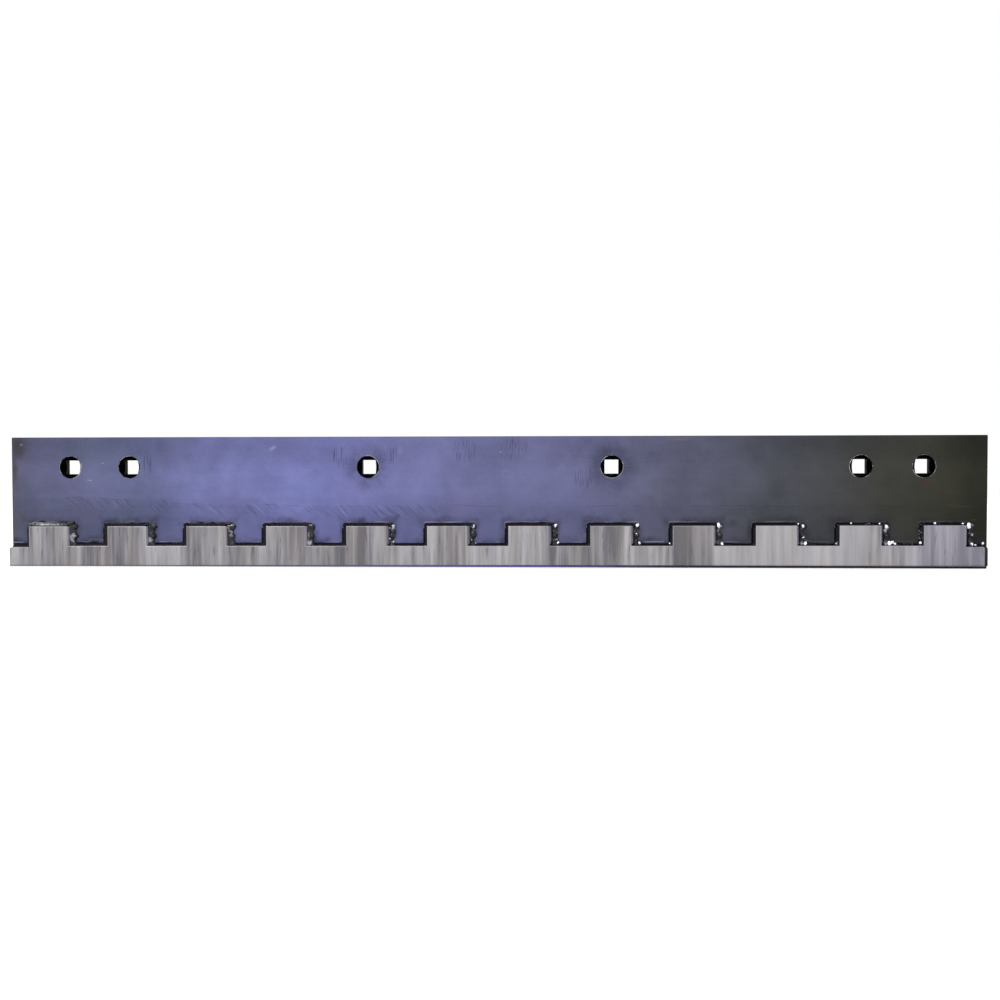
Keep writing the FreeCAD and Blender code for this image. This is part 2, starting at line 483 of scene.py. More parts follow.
def plateColours(tree, place, x, z):
    # the colours along the plate, mill scale with a painted reflection, with violet patches on its left
    # and darker towards top and foot
    violet, top, foot = plate["violet"], plate["top"], plate["foot"]
    share = addUp(tree, rescale(tree, x, plateLow.x, plateHigh.x), drift(tree, place, *plate["drift"]))
    base = colourRamp(tree, share, plate["alongPlate"])
    violetPlace = stretched(tree, place, violet["size"], shift=(3, 0, 0))
    mask = product(tree, patches(tree, violetPlace, 1, 4, *violet["cut"]),
                   rescale(tree, x, *violet["along"]), violet["strength"])
    base = blendColour(tree, mask, base, violet["colour"])
    factor, grain = useGroup(tree, mottle, {"Place": place, **plate["mottle"]})
    base = brighten(tree, base, factor)
    topLevel = rescale(tree, calc(tree, "ABSOLUTE", x), *top["along"], *top["levels"])
    base = brighten(tree, base, rescale(tree, z, *top["heights"], 1, topLevel, True))
    footLevel = calc(tree, "MAXIMUM", rescale(tree, x, *foot["along"], *foot["levels"]),
                     rescale(tree, x, *foot["leftEnd"], foot["levels"][0], 1))
    base = brighten(tree, base, rescale(tree, z, *foot["heights"], 1, footLevel, True))
    return base, grain


def heatLineOnPlate(tree, place, x, z, inFront, base):
    # a faint line along the plate where the strip's heat stopped, and oblique strokes below it
    line, strokes = plate["heatLine"], plate["strokes"]
    lineTop = addUp(tree, rescale(tree, x, *line["riseAlong"], 0, line["rise"], True), line["height"])
    below = addUp(tree, calc(tree, "SUBTRACT", lineTop, z), drift(tree, place, *line["wander"]))
    belowLine = product(tree, rescale(tree, below, *line["below"], smooth=True), inFront)
    base = shadeWhere(tree, base, belowLine, line["belowLevel"])
    onLine = rescale(tree, calc(tree, "ABSOLUTE", below), *line["width"], smooth=True)
    onLine = product(tree, onLine, patches(tree, place, *line["broken"]), inFront)
    base = shadeWhere(tree, base, onLine, line["level"])

    strokePlace = stretched(tree, place, strokes["size"], strokes["turn"])
    pattern = rescale(tree, cloud(tree, strokePlace, 1, 2, 0.5, 0.6), *strokes["cut"], -1, 1)
    strokeHeight = product(tree, pattern, rescale(tree, below, *strokes["start"], smooth=True),
                           rescale(tree, below, *strokes["end"], smooth=True),
                           rescale(tree, x, *strokes["leftEnd"], smooth=True),
                           rescale(tree, x, *strokes["rightEnd"], smooth=True),
                           patches(tree, place, *strokes["patchy"]), inFront)
    base = brighten(tree, base, rescale(tree, strokeHeight, -1, 1, *strokes["levels"]))
    return base, strokeHeight


def scratchesOnPlate(tree, place, inFront, base):
    scratches = plate["scratches"]
    scratchPlace = stretched(tree, place, scratches["size"], scratches["turn"])
    pattern = patches(tree, scratchPlace, 1, 2, *scratches["cut"], roughness=0.5)
    inPatch = 0.0
    for (x, z), (halfLong, halfHigh) in scratches["patches"]:
        spot = useGroup(tree, softSpot, {"Place": place, "Middle": (x, 0, z),
                                         "Half Size": (halfLong, 1, halfHigh)})
        inPatch = calc(tree, "MAXIMUM", spot[0], inPatch)
    mask = product(tree, pattern, rescale(tree, inPatch, *scratches["edge"]), inFront)
    return shadeWhere(tree, base, mask, scratches["level"]), mask


def seatDistance(tree, x, z):
    # distance to the middle of the nearest bolt seat
    nearest = plateHigh.x
    upwards = calc(tree, "SUBTRACT", z, seatHeight)
    for seat in seatsAlong:
        sideways = calc(tree, "SUBTRACT", calc(tree, "ABSOLUTE", x), seat)
        squares = addUp(tree, product(tree, sideways, sideways), product(tree, upwards, upwards))
        nearest = calc(tree, "MINIMUM", calc(tree, "SQRT", squares), nearest)
    return nearest


def smudgesOnPlate(tree, place, x, z, fromSeat, inFront, base):
    # smudge rings round the two middle seats, with scuffs that point away from the seat
    smudges = plate["smudges"]
    fromMiddle = calc(tree, "ABSOLUTE", x)
    atSeats = product(tree, rescale(tree, fromMiddle, *smudges["along"]), inFront)
    ring = product(tree, rescale(tree, fromSeat, *smudges["ring"], smooth=True), atSeats,
                   patches(tree, place, *smudges["patchy"]))
    base = shadeWhere(tree, base, ring, smudges["level"])
    angle = calc(tree, "ARCTAN2", calc(tree, "SUBTRACT", z, seatHeight),
                 calc(tree, "SUBTRACT", fromMiddle, seatsAlong[0]))
    inputs = {"W": angle, "Scale": smudges["scuffCount"], "Detail": 3.0}
    spokes = addNode(tree, "ShaderNodeTexNoise", inputs, noise_dimensions="1D").outputs[0]
    scuffs = product(tree, rescale(tree, spokes, *smudges["scuffCut"]), atSeats,
                     rescale(tree, fromSeat, *smudges["scuffRing"]))
    return shadeWhere(tree, base, scuffs, smudges["scuffLevel"])


def marksOnPlate(tree, place, inFront, base):
    scale, detail, distance = plate["markWobble"]
    inputs = {"Vector": place, "Scale": scale, "Detail": detail}
    wobble = addNode(tree, "ShaderNodeTexNoise", inputs).outputs[1]
    centred = vectorMath(tree, "ADD", {0: wobble, 1: (-0.5, -0.5, -0.5)})
    shift = vectorMath(tree, "SCALE", {0: centred, "Scale": distance})
    moved = vectorMath(tree, "ADD", {0: place, 1: shift})
    for (x, z), (halfLong, halfHigh), turn, shade, strength in plate["marks"]:
        spot = useGroup(tree, softSpot, {"Place": moved, "Middle": (x, 0, z),
                                         "Turn": (0, math.radians(turn), 0),
                                         "Half Size": (halfLong, 1, halfHigh)})
        base = blendColour(tree, product(tree, spot[0], strength, inFront), base, shade)
    return base


def weldTints(tree, place, x, ragged, inFront, base):
    # a darker band and a faint heat tint round the welds, and a painted highlight, partly heat tint, in a
    # thin line along the seam's toe
    weldDarkening, tint, toe = plate["weldDarkening"], plate["heatTint"], plate["toeHighlight"]
    # the sloping sides widen each tooth at the plate
    inputs = {"Place": place, "Tooth Width": strip["toothWidth"] + bevelWidth}
    depth, across = useGroup(tree, outlineDepth, inputs)[:2]
    away = calc(tree, "SUBTRACT", ragged, depth)
    # darker band round the welds
    mask = product(tree, rescale(tree, away, *weldDarkening["reach"], smooth=True),
                   patches(tree, place, *weldDarkening["patchy"]), inFront, weldDarkening["strength"])
    base = blendColour(tree, mask, base, weldDarkening["colour"])
    mask = product(tree, rescale(tree, away, *tint["outer"]), rescale(tree, away, *tint["inner"]),
                   rescale(tree, x, *tint["along"]), patches(tree, place, *tint["patchy"]), inFront)
    base = blendColour(tree, mask, base, tint["colour"])
    fromToe = addUp(tree, depth, toe["distance"], drift(tree, place, *toe["wobble"]))
    onTopsAndFloors = addUp(tree, rescale(tree, across, *toe["overTooth"]),
                            rescale(tree, across, *toe["overFloor"]))
    mask = product(tree, rescale(tree, calc(tree, "ABSOLUTE", fromToe), *toe["width"], smooth=True),
                   inFront, patches(tree, place, *toe["broken"]), onTopsAndFloors,
                   rescale(tree, x, *toe["along"]))
    return blendColour(tree, mask, base, toe["colour"])


def bluedPlate():
    material, tree, shader, place = newMaterial("bluedPlate")
    x, y, z = coordinates(tree, place)
    fadeStart, fadeEnd = plate["frontFade"]
    inFront = rescale(tree, y, plateFront + fadeStart, plateFront + fadeEnd)
    ragged = patches(tree, place, *plate["ragged"])
    fromSeat = seatDistance(tree, x, z)

    base, grain = plateColours(tree, place, x, z)
    base, strokeHeight = heatLineOnPlate(tree, place, x, z, inFront, base)
    base, scratches = scratchesOnPlate(tree, place, inFront, base)
    base = smudgesOnPlate(tree, place, x, z, fromSeat, inFront, base)
    base = marksOnPlate(tree, place, inFront, base)
    base = weldTints(tree, place, x, ragged, inFront, base)
    # painted light along the plate's lower edge, under the strip's hollow
    low = plate["lowEdgeLight"]
    lowEdgeLight = product(tree, rescale(tree, z, *low["heights"]), rescale(tree, x, *low["along"]), inFront,
                      rescale(tree, x, *low["leftEnd"]))
    base = blendColour(tree, lowEdgeLight, base, low["colour"])

    # dark seats and square holes, and darker ends
    thin, less = plate["seatEdge"]
    inSeat = product(tree, rescale(tree, fromSeat, seatRadius + thin, seatRadius + less),
                     rescale(tree, y, plateFront + less, plateFront + thin),
                     rescale(tree, y, plateHigh.y - less, plateHigh.y - thin))
    base = blendColour(tree, inSeat, base, plate["holeInside"])
    ends = plate["ends"]
    fromEnd = calc(tree, "SUBTRACT", plateHigh.x, calc(tree, "ABSOLUTE", x))
    atEnd = rescale(tree, addUp(tree, fromEnd, product(tree, ragged, ends["ragged"])), *ends["width"])
    base = brighten(tree, shadeWhere(tree, base, atEnd, ends["level"]), plate["level"])

    # a black metal keeps the seats dark from every side
    metallic = rescale(tree, inSeat, 0, 1, plate["metallic"], 1)
    rough = addUp(tree, plate["roughness"], product(tree, grain, plate["grainRoughness"]),
                  product(tree, inSeat, plate["seatRoughness"]))
    setShader(tree, shader, base, rough, metallic)
    shader.inputs["Specular IOR Level"].default_value = plate["specular"]
    height = addUp(tree, grain, product(tree, strokeHeight, plate["strokes"]["depth"]),
                   product(tree, scratches, -plate["scratches"]["depth"]),
                   product(tree, patches(tree, place, *plate["pits"]), -plate["pitDepth"]))
    bumpNormal(tree, shader, height, plate["bump"])
    return material


# mesh helpers

def meshObject(name, bm, material):
    mesh = bpy.data.meshes.new(name)
    bm.to_mesh(mesh)
    bm.free()
    mesh.materials.append(material)
    made = bpy.data.objects.new(name, mesh)
    scene.collection.objects.link(made)
    return made


def addPiece(name, bm, material, replaced=None):
    piece = meshObject(name, bm, material)
    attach(piece, "root")
    if replaced:
        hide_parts(replaced)
    return piece


def layOnPlate(bm):
    # from the strip's flat drawing to its place, its right end slightly higher
    turn = Matrix.Rotation(-math.radians(strip["tilt"]), 3, "Y")
    bmesh.ops.rotate(bm, cent=(0, 0, 0), matrix=turn, verts=bm.verts)
    bmesh.ops.translate(bm, vec=(-stripLength / 2, plateFront, 0), verts=bm.verts)


def cutThrough(bm, place, normal, removeBeyond=False):
    return bmesh.ops.bisect_plane(bm, geom=bm.verts[:] + bm.edges[:] + bm.faces[:], plane_co=place,
                                  plane_no=normal, clear_outer=removeBeyond)


def bevelEdges(bm, edges, offset, segments):
    bmesh.ops.bevel(bm, geom=edges, offset=offset, offset_type="OFFSET", segments=segments,
                    profile=0.5, affect="EDGES", material=-1, clamp_overlap=True)


def toothSides():
    for i in range(toothCount):
        left = firstTooth + i * strip["toothPitch"]
        yield left, left + strip["toothWidth"]


# wear strip

def lengthShades(tree, x):
    # how much darker each stretch of the face was ground
    amount = 0.0
    edge = strip["lengthEdge"]
    for middle, half, darker in strip["darkLengths"]:
        away = calc(tree, "ABSOLUTE", calc(tree, "SUBTRACT", x, middle))
        amount = calc(tree, "ADD", rescale(tree, away, half + edge, half - edge, 0, darker, True), amount)
    return amount


def groundStrip():
    material, tree, shader, place = newMaterial("groundStrip")
    x, y = coordinates(tree, place)[:2]
    depth, across, height = useGroup(tree, outlineDepth, {"Place": place})

    # upright grinding streaks, and stains that fade towards the bottom
    streaks = {}
    uneven = 0.0
    for name, (size, detail, share) in strip["streaks"].items():
        streaks[name] = drift(tree, stretched(tree, place, size), 1, detail)
        uneven = calc(tree, "ADD", product(tree, streaks[name], share), uneven)
    stains = patches(tree, stretched(tree, place, strip["stainSize"], shift=(5, 0, 0)), 1, 3,
                     *strip["stainCut"])
    stains = product(tree, stains, rescale(tree, height, *strip["stainHeights"], 0.5, 1))
    uneven = addUp(tree, uneven, product(tree, stains, -strip["stainStrength"]))

    # the teeth were ground darker than the floors, and less evenly except towards the right
    even = product(tree, rescale(tree, x, *strip["evenFrom"], smooth=True),
                   rescale(tree, x, *strip["evenTo"], smooth=True))
    contrast = rescale(tree, even, 0, 1, *strip["contrast"])
    onTooth = rescale(tree, across, -strip["toothEdge"], strip["toothEdge"], smooth=True)
    shade = addUp(tree, rescale(tree, even, 0, 1, *strip["level"]), product(tree, uneven, contrast),
                  product(tree, onTooth, -strip["toothDarker"], contrast))
    shade = calc(tree, "SUBTRACT", shade, lengthShades(tree, x), clamp=True)
    base = blendColour(tree, shade, strip["dark"], strip["light"])

    warmth = patches(tree, stretched(tree, place, strip["warmSize"], shift=(9, 0, 0)), 1, 2,
                     *strip["warmCut"])
    tint = blendColour(tree, warmth, strip["cool"], strip["warm"])
    base = blendColour(tree, strip["tintStrength"], base, tint)
    lastTooth = product(tree, rescale(tree, x, *strip["lastToothAlong"]), strip["lastToothStrength"])
    base = blendColour(tree, lastTooth, base, strip["lastTooth"])

    # a painted highlight along the teeth's edges, a dark line along the bottom
    rim = rescale(tree, depth, *strip["edgeHighlightWidth"], smooth=True)
    base = blendColour(tree, product(tree, rim, strip["edgeHighlightStrength"]), base, strip["rim"])
    bottom = rescale(tree, height, *strip["bottomHeights"], smooth=True)
    base = shadeWhere(tree, base, bottom, strip["bottomLevel"])

    sideStart, sideFull = strip["sideFrom"]
    offFace = rescale(tree, y, stripFace + sideStart, stripFace + sideFull)
    factor = useGroup(tree, mottle, {"Place": place, **strip["sideMottle"]})[0]
    sideShade = brighten(tree, strip["side"], factor)
    # painted shade: the sloping side at the right end is black
    endStart, endFull = strip["endShadeFrom"]
    atEnd = rescale(tree, x, stripHigh.x - endStart, stripHigh.x - endFull)
    sideShade = blendColour(tree, atEnd, sideShade, strip["endShade"])
    base = blendColour(tree, offFace, base, sideShade)

    # the sloping sides stay dull, and the right end, painted black as shade, is all metal so that it
    # shows no sheen
    metallic = rescale(tree, offFace, 0, 1, strip["metallic"], strip["sideMetallic"])
    metallic = calc(tree, "MAXIMUM", metallic, product(tree, atEnd, offFace))
    rough = addUp(tree, strip["roughness"], product(tree, streaks["lines"], strip["lineRoughness"]),
                  product(tree, offFace, strip["sideRoughness"]))
    setShader(tree, shader, base, rough, metallic)
    height = addUp(tree, streaks["lines"], product(tree, streaks["bands"], strip["bandBump"]))
    bumpNormal(tree, shader, height, strip["streakBump"])
    return material


def wearStrip():
    bm = bmesh.new()
    bmesh.ops.create_cube(bm, size=1)
    bmesh.ops.scale(bm, vec=(faceLength, stripThickness, floorHeight), verts=bm.verts)
    bmesh.ops.translate(bm, vec=(faceLength / 2, -stripThickness / 2, floorHeight / 2), verts=bm.verts)
    for left, right in toothSides():
        cutThrough(bm, (left, 0, 0), rightward)
        cutThrough(bm, (right, 0, 0), rightward)

    # teeth rise from the top faces between each pair of cuts
    roots = []
    for face in bm.faces:
        middle = face.calc_center_median()
        isTop = face.normal.z > 0.9
        if isTop and any(left < middle.x < right for left, right in toothSides()):
            roots.append(face)
    crowns = bmesh.ops.extrude_discrete_faces(bm, faces=roots)["faces"]
    crownVerts = {vert for face in crowns for vert in face.verts}
    bmesh.ops.translate(bm, vec=(0, 0, strip["toothHeight"]), verts=list(crownVerts))
    bmesh.ops.remove_doubles(bm, verts=bm.verts, dist=near)

    # the right-hand sides slope out to the plate
    rightSides = [right for left, right in toothSides()] + [faceLength]
    for vert in bm.verts:
        atBack = vert.co.y > -near
        raised = vert.co.z > floorHeight - near or vert.co.x > faceLength - near
        if atBack and raised and any(abs(vert.co.x - x) < near for x in rightSides):
            vert.co.x += bevelWidth

    # the face stops a little short of the right end, and the two end floors lie lower
    lastRight = rightSides[-2]
    for vert in bm.verts:
        if vert.co.y < near - stripThickness and vert.co.x > faceLength - near:
            vert.co.x -= strip["endRelief"]
        beyondTeeth = vert.co.x < firstTooth + near or vert.co.x > lastRight - near
        if beyondTeeth and abs(vert.co.z - floorHeight) < near:
            vert.co.z = endFloorHeight

    # the lower edge is worn slightly hollow
    for vert in bm.verts:
        if vert.co.z < near:
            fromMiddle = 2 * vert.co.x / faceLength - 1
            vert.co.z += strip["bottomHollow"] * max(0, 1 - fromMiddle ** 2)

    # rounded corners at the two end floors, then a fine rounding on every sharp edge
    corners = []
    for edge in bm.edges:
        a, b = (vert.co for vert in edge.verts)
        runsBack = abs(a.y - b.y) > near
        atFloor = abs(a.z - endFloorHeight) < near and abs(b.z - endFloorHeight) < near
        atEnd = max(a.x, b.x) < near or min(a.x, b.x) > faceLength - strip["endRelief"] - near
        if runsBack and atFloor and atEnd:
            corners.append(edge)
    bevelEdges(bm, corners, strip["cornerRadius"], 6)
    bmesh.ops.recalc_face_normals(bm, faces=bm.faces)
    sharp = [edge for edge in bm.edges if edge.calc_face_angle(0) > math.radians(25)]
    bevelEdges(bm, sharp, strip["edgeRounding"], 2)
    layOnPlate(bm)
    return addPiece("wearStrip", bm, groundStrip(), "toothed_wear_strip")


# weld beads are grown from overlapping drops, then skinned over

skin = {
    "voxel": 0.66 * mm,
    "biteInPlate": 0.2 * mm,
}


def addDrop(bm, place, axes, detail=2):
    # an oval drop with three half axes
    matrix = Matrix.Translation(place) @ Matrix(axes).transposed().to_4x4()
    bmesh.ops.create_icosphere(bm, subdivisions=detail, radius=1, matrix=matrix)


def gather(whole, portion):
    # adds one tooth's drops to the rest
    mesh = bpy.data.meshes.new("portion")
    portion.to_mesh(mesh)
    portion.free()
    whole.from_mesh(mesh)
    bpy.data.meshes.remove(mesh)


def skinOver(name, bm, material, replaced, smoothing):
    # one skin round all drops, cut off just inside the plate
    layOnPlate(bm)
    piece = addPiece(name, bm, material, replaced)
    remesh = piece.modifiers.new("skin", "REMESH")
    remesh.mode = "VOXEL"
    remesh.voxel_size = skin["voxel"]
    remesh.use_smooth_shade = True
    skinned = bmesh.new()
    skinned.from_object(piece, bpy.context.evaluated_depsgraph_get())
    piece.modifiers.clear()
    for _ in range(smoothing):
        bmesh.ops.smooth_vert(skinned, verts=skinned.verts, factor=0.5,
                              use_axis_x=True, use_axis_y=True, use_axis_z=True)
    cut = cutThrough(skinned, (0, plateFront + skin["biteInPlate"], 0), -outOfFront, True)
    rim = [item for item in cut["geom_cut"] if isinstance(item, bmesh.types.BMEdge)]
    bmesh.ops.edgeloop_fill(skinned, edges=rim)
    bmesh.ops.recalc_face_normals(skinned, faces=skinned.faces)
    skinned.to_mesh(piece.data)
    skinned.free()
    print(name, "has", len(piece.data.polygons), "faces")
    return piece


# thin seam along the strip, of black glassy scale

seam = {
    "leg": 5.3 * mm,
    "crown": 0.8 * mm,
    "ripple": 2.1 * mm,
    "rippleLength": 2.9 * mm,
    "uneven": 0.04,
    "sway": 0.2,
    "endSetback": 3.5 * mm,
    # the runs stop this far from a tooth's upper left corner, and smaller ripples go round it
    "cornerGap": 3.8 * mm,
    "cornerReach": 0.9,
    "cornerTurns": (15, 30, 45, 60, 75),
    # how far each tooth's seam reaches against the usual leg: the floor before it, its left side and top
    "floorReach": [0.95, 1.0, 0.92, 0.85, 0.78, 0.68, 0.66, 0.7, 0.6, 0.54, 0.5, 0.52],
    "leftReach": [1.05, 1.6, 1.4, 1.5, 1.35, 1.1, 1.0, 1.0, 1.0, 0.95, 1.05, 1.0],
    "topReach": [1.45, 1.0, 1.1, 0.95, 0.88, 0.78, 0.95, 0.82, 0.72, 0.68, 0.7, 0.66],
    # after these teeth the seam runs out of the side weld in a tail, thicker by that share of the leg
    "tails": {9: 0.6, 10: 1.3, 11: 1.5},
    "tailStart": 7 * mm,
    "tailLength": 22 * mm,
    "tailReach": 0.5,
    # small drops carry the top's seam on to the side weld, above the tooth's sloping side
    "endDrops": 4,
    "endHalfHeight": 2.5 * mm,
    "endThickness": 3.4 * mm,
    "endLift": 1 * mm,
    "colour": colour(9, 9, 11),
    "metallic": 0.55,
    "specular": 0.35,
    "roughness": (0.24, 0.34),
    "grain": (700, 2, 0.5),
    "bump": 0.03 * mm,
    # the upper toe catches the light in broken lengths
    "toe": {"colour": colour(150, 146, 164), "strength": 0.5, "depths": (-3.2 * mm, -4.4 * mm),
            "facingUp": (0.35, 0.75), "size": (0.012, 0.004, 0.004), "cut": (0.4, 0.6)},
    # a pale band between two black edges over the first tooth, brightest on its left half: grey-brown
    # scale with a painted sheen
    "firstTop": {"colour": colour(116, 118, 119), "along": (-0.536, -0.556, 0.25, 1),
                 "rightEnd": (-0.53, -0.535), "inner": (-1.2 * mm, -1.8 * mm),
                 "outer": (-6.2 * mm, -5.4 * mm), "size": (0.012, 0.005, 0.003),
                 "cut": (0.4, 0.56, 0.1, 0.9)},
    # painted highlights: bright lavender spots on the seam towards the right end
    "paintedGlints": {"colour": colour(176, 172, 204), "along": (0.36, 0.5), "cloud": (170, 3, 0.58, 0.68),
               "depths": (-1 * mm, -2 * mm)},
}


def seamScale():
    material, tree, shader, place = newMaterial("seamScale")
    toe, firstTop, paintedGlints = seam["toe"], seam["firstTop"], seam["paintedGlints"]
    x = coordinates(tree, place)[0]
    outline = useGroup(tree, outlineDepth, {"Place": place})
    depth, height = outline[0], outline[2]
    normal = tree.nodes.new("ShaderNodeNewGeometry").outputs["Normal"]
    facingUp = rescale(tree, coordinates(tree, normal)[2], *toe["facingUp"])
    broken = patches(tree, stretched(tree, place, toe["size"]), 1, 3, *toe["cut"])
    mask = product(tree, rescale(tree, depth, *toe["depths"]), facingUp, broken, toe["strength"])
    base = blendColour(tree, mask, seam["colour"], toe["colour"])

    overTooth = rescale(tree, height, strip["height"] - 1 * mm, strip["height"])
    patchy = patches(tree, stretched(tree, place, firstTop["size"]), 1, 3, *firstTop["cut"])
    mask = product(tree, rescale(tree, x, *firstTop["along"]), rescale(tree, x, *firstTop["rightEnd"]),
                   rescale(tree, depth, *firstTop["inner"]), rescale(tree, depth, *firstTop["outer"]),
                   overTooth, patchy)
    base = blendColour(tree, mask, base, firstTop["colour"])

    # painted highlights on the seam towards the right end
    mask = product(tree, patches(tree, place, *paintedGlints["cloud"], roughness=0.6),
                   rescale(tree, x, *paintedGlints["along"]), rescale(tree, depth, *paintedGlints["depths"]))
    base = blendColour(tree, mask, base, paintedGlints["colour"])
    setShader(tree, shader, base, rescale(tree, broken, 0, 1, *seam["roughness"]), seam["metallic"])
    shader.inputs["Specular IOR Level"].default_value = seam["specular"]
    bumpNormal(tree, shader, cloud(tree, place, *seam["grain"]), seam["bump"])
    return material


def addRipple(bm, place, along, away, reach, dice):
    size = 1 + dice.uniform(-seam["uneven"], seam["uneven"])
    halfLeg = seam["leg"] / math.sqrt(2) * size
    throat = halfLeg + seam["crown"]
    spread = halfLeg / math.sqrt(1 - (halfLeg / throat) ** 2)
    diagonal = (away + outOfFront).normalized()
    across = along.cross(diagonal).normalized()
    axes = [along * seam["rippleLength"] * size, diagonal * throat, across * spread]
    addDrop(bm, place, [axis + away * axis.dot(away) * (reach - 1) for axis in axes])


def addRun(bm, start, finish, away, reach, dice):
    run = finish - start
    count = max(2, round(run.length / seam["ripple"]))
    along = run.normalized()
    for i in range(count + 1):
        sway = along * dice.uniform(-seam["sway"], seam["sway"]) * seam["ripple"]
        addRipple(bm, start + run * (i / count) + sway, along, away, reach, dice)


def addFloorRun(bm, fromX, toX, height, reach, dice):
    addRun(bm, Vector((fromX, 0, height)), Vector((toX, 0, height)), upward, reach, dice)


def addTail(bm, foot, extra, dice):
    count = round(seam["tailLength"] / seam["ripple"])
    for i in range(count):
        place = Vector((foot + seam["tailStart"] + i * seam["ripple"], 0, floorHeight))
        reach = seam["tailReach"] + extra * (1 - i / count) ** 2
        addRipple(bm, place, rightward, upward, reach, dice)


def addEndDrops(bm, topEnd, reach):
    # none of them hangs over the bevel
    half = seam["endHalfHeight"] * reach
    axes = [rightward * seam["rippleLength"], -outOfFront * seam["endThickness"], upward * half]
    for i in range(seam["endDrops"]):
        addDrop(bm, topEnd + Vector(((i + 1) * seam["ripple"], -seam["endLift"], half)), axes)


def seamWeld():
    dice = random.Random(7)
    whole = bmesh.new()
    x = strip["overhang"] + seam["endSetback"]
    for i, (left, right) in enumerate(toothSides()):
        bm = bmesh.new()
        leftReach = seam["leftReach"][i]
        topReach = seam["topReach"][i]
        foot = Vector((left, 0, floorHeight))
        crown = Vector((left, 0, strip["height"]))
        topEnd = Vector((right - seam["rippleLength"], 0, strip["height"]))
        addFloorRun(bm, x, left, endFloorHeight if i == 0 else floorHeight, seam["floorReach"][i], dice)
        addRun(bm, foot, crown - upward * seam["cornerGap"], leftward, leftReach, dice)
        for degrees in seam["cornerTurns"]:
            turn = Matrix.Rotation(math.radians(degrees), 3, "Y")
            reach = leftReach + (topReach - leftReach) * degrees / 90
            addRipple(bm, crown, turn @ upward, turn @ leftward, reach * seam["cornerReach"], dice)
        addRun(bm, crown + rightward * seam["cornerGap"], topEnd, upward, topReach, dice)
        addEndDrops(bm, topEnd, topReach)
        if i + 1 in seam["tails"]:
            addTail(bm, right + bevelWidth, seam["tails"][i + 1], dice)
        gather(whole, bm)
        x = right + bevelWidth
    bm = bmesh.new()
    finish = stripLength - strip["overhang"] - seam["endSetback"]
    addFloorRun(bm, x, finish, endFloorHeight, seam["floorReach"][-1], dice)
    gather(whole, bm)
    return skinOver("seamWeld", whole, seamScale(), "fillet_weld_seam", 4)


# heavy beads beside the teeth, dark with patches of bright metal

sideBead = {
    "drops": 9,
    "reach": 8.2 * mm,
    "height": 4.6 * mm,
    # the drops' heights are shares of the tooth's, their places and lifts shares of reach and height
    "heights": (-0.02, 1.08),
    "places": (0.15, 0.8),
    "lifts": (0.1, 0.45),
    "radii": (2.1 * mm, 3.1 * mm),
    "uneven": (0.85, 1.2),
    "belowFace": 0.3 * mm,
    # where the bead swells: heights, then for crest and toe their places, lift and radius
    "swells": (0.06, 0.5, 0.98),
    "crest": ((3.2 * mm, 4.5 * mm), 2.0 * mm, 3.5 * mm),
    "toe": ((4.5 * mm, 6.5 * mm), 0.8 * mm, 2.8 * mm),
    "rootDrops": 9,
    "rootAt": 2.3 * mm,
    "rootLift": 0.9 * mm,
    "rootRadius": 2.3 * mm,
    "coverPlaces": (2.5 * mm, 3.5 * mm),
    "coverLift": 1.0 * mm,
    "coverRadius": 2.6 * mm,
    # how far up the bevel the first teeth's beads climb
    "climbingTeeth": 4,
    "climb": 2.6 * mm,
    "climbLift": 0.6,
    "dark": colour(24, 24, 28),
    # greyer on the left
    "grey": colour(38, 38, 43),
    "greyAlong": (-0.12, -0.25),
    "light": colour(142, 142, 154),
    "lightCloud": (120, 3, 0.5),
    "lightAlong": (-0.2, -0.1, 0.6, 0.59),
    "lightEdge": (-0.04, 0.06),
    # where the bead is dark, and where it is bright
    "roughness": (0.3, 0.22),
    "metallic": (0.5, 0.7),
    "grain": (600, 3, 0.6),
    "bump": 0.06 * mm,
}


def sideWeldMetal():
    material, tree, shader, place = newMaterial("sideWeldMetal")
    x = coordinates(tree, place)[0]
    edge = rescale(tree, x, *sideBead["lightAlong"])
    silver = calc(tree, "SUBTRACT", cloud(tree, place, *sideBead["lightCloud"]), edge)
    silver = rescale(tree, silver, *sideBead["lightEdge"])
    greyer = rescale(tree, x, *sideBead["greyAlong"])
    base = blendColour(tree, greyer, sideBead["dark"], sideBead["grey"])
    base = blendColour(tree, silver, base, sideBead["light"])
    setShader(tree, shader, base, rescale(tree, silver, 0, 1, *sideBead["roughness"]),
              rescale(tree, silver, 0, 1, *sideBead["metallic"]))
    bumpNormal(tree, shader, cloud(tree, place, *sideBead["grain"]), sideBead["bump"])
    return material


def addSideDrop(bm, foot, climb, share, beyond, lift, radius, dice):
    radius = min(radius, stripThickness - sideBead["belowFace"] - lift)
    wide, thick, tall = [radius * dice.uniform(*sideBead["uneven"]) for _ in range(3)]
    # the sloping side of the tooth stays clear, or nearly so
    beyond = max(beyond, wide - climb)
    place = Vector((foot + beyond, -lift, floorHeight + share * strip["toothHeight"]))
    addDrop(bm, place, [rightward * wide, -outOfFront * min(radius, thick), upward * tall])


